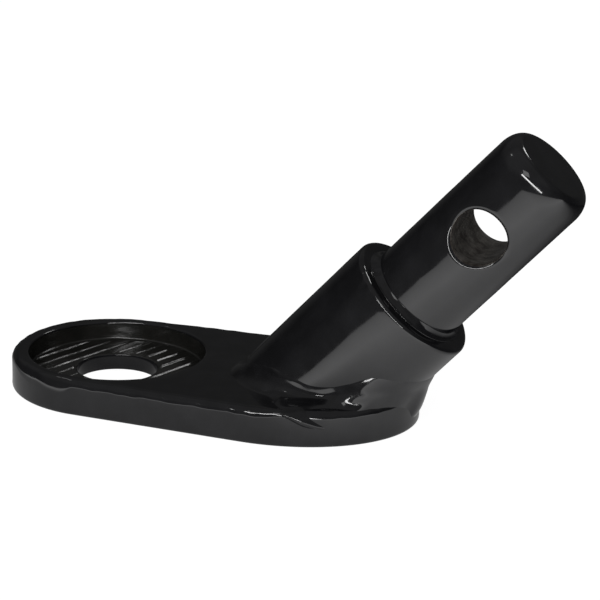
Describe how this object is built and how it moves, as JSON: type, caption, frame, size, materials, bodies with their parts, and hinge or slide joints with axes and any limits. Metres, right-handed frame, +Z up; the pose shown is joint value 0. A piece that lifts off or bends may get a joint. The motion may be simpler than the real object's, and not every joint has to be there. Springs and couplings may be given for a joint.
{
  "type": "bicycle trailer hitch coupler",
  "caption": "Flat steel axle plate with a round nut seat and axle hole, and a short angled stub with a shoulder and a cross hole that carries a trailer's tow arm.",
  "frame": {"origin": "on the axle hole's axis, at the plate's underside", "axes": "+Z up, out of the nut seat; +X along the plate from the axle hole towards the stub, which leans to +X; +Y across the plate"},
  "size_m": [0.0917, 0.035, 0.0483],
  "materials": {
    "coated_steel": "gloss",
    "coated_weld": "gloss"
  },
  "bodies": {
    "root": {"base_plate": "coated_steel", "sleeve": "coated_steel", "spigot": "coated_steel", "shoulder_bead": "coated_weld", "toe_bead": "coated_weld", "side_bead_left": "coated_weld", "side_bead_right": "coated_weld", "heel_fill": "coated_weld"}
  },
  "joints": []
}
